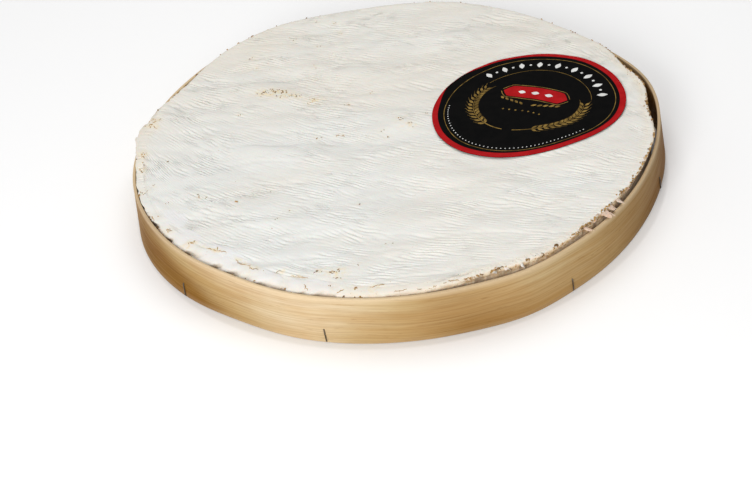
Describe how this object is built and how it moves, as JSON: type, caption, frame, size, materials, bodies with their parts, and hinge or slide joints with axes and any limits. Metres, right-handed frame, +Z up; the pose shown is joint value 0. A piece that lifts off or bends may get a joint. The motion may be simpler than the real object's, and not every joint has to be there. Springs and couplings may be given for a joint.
{
  "type": "whole soft cheese wheel in a wooden hoop",
  "caption": "Whole flat round of soft white-rind cheese in a thin bent-wood hoop with wire staples, a round paper label on its top.",
  "frame": {"origin": "on the table, under the middle of the hoop's own box", "axes": "+Z up through the wheel; the front faces -Y, and the label lies towards +X"},
  "size_m": [0.3762, 0.3694, 0.042],
  "materials": {
    "white_rind": "dry, bloomy white rind with fine mat ridges and ochre specks at the edge",
    "label_paper": "black printed paper with a slight sheen, red border",
    "poplar_strip": "bare, pale golden poplar with grain along the strip",
    "staple_wire": "dull thin wire"
  },
  "bodies": {
    "root": {"cheese": "white_rind", "label": "label_paper", "hoop": "poplar_strip", "foot_staple_1": "staple_wire", "foot_staple_2": "staple_wire", "foot_staple_3": "staple_wire", "foot_staple_4": "staple_wire", "foot_staple_5": "staple_wire", "foot_staple_6": "staple_wire", "foot_staple_7": "staple_wire", "lap_staple_1": "staple_wire", "lap_staple_2": "staple_wire", "lap_staple_3": "staple_wire", "lap_staple_4": "staple_wire"}
  },
  "joints": []
}
